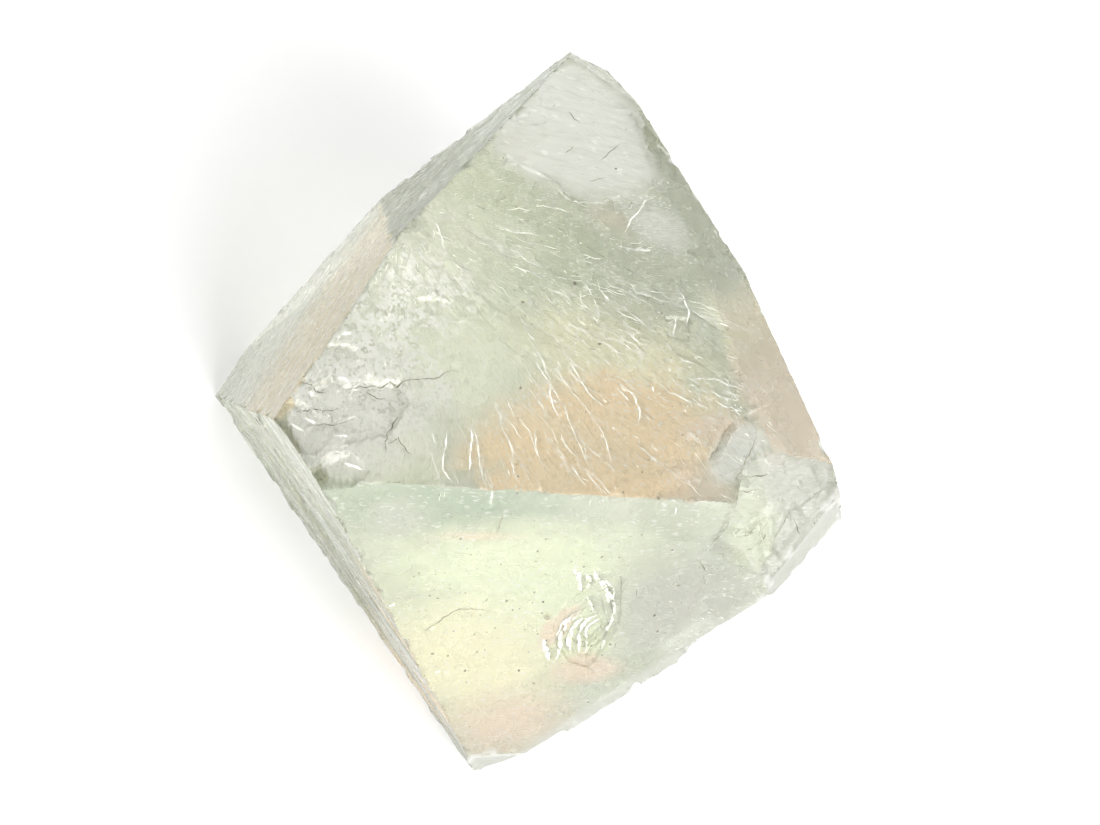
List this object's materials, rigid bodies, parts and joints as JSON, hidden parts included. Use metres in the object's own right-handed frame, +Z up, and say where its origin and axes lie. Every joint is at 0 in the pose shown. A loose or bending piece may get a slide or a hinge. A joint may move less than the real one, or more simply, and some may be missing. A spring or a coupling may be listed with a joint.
{
  "type": "fluorite octahedron",
  "caption": "Pale green-grey fluorite crystal cleaved to an octahedron, with stepped faces and a broken corner, resting on one flat face.",
  "frame": {"origin": "the point of the flat resting face that lies under the middle of the crystal", "axes": "+Z is up, away from the resting face; -Y faces the banded face, and X runs along that face's lower edge"},
  "size_m": [0.0335, 0.0367, 0.026],
  "materials": {
    "fluorite": "clear to milky natural crystal with frosted cleavage faces"
  },
  "bodies": {
    "root": {"fluorite_octahedron": "fluorite"}
  },
  "joints": []
}
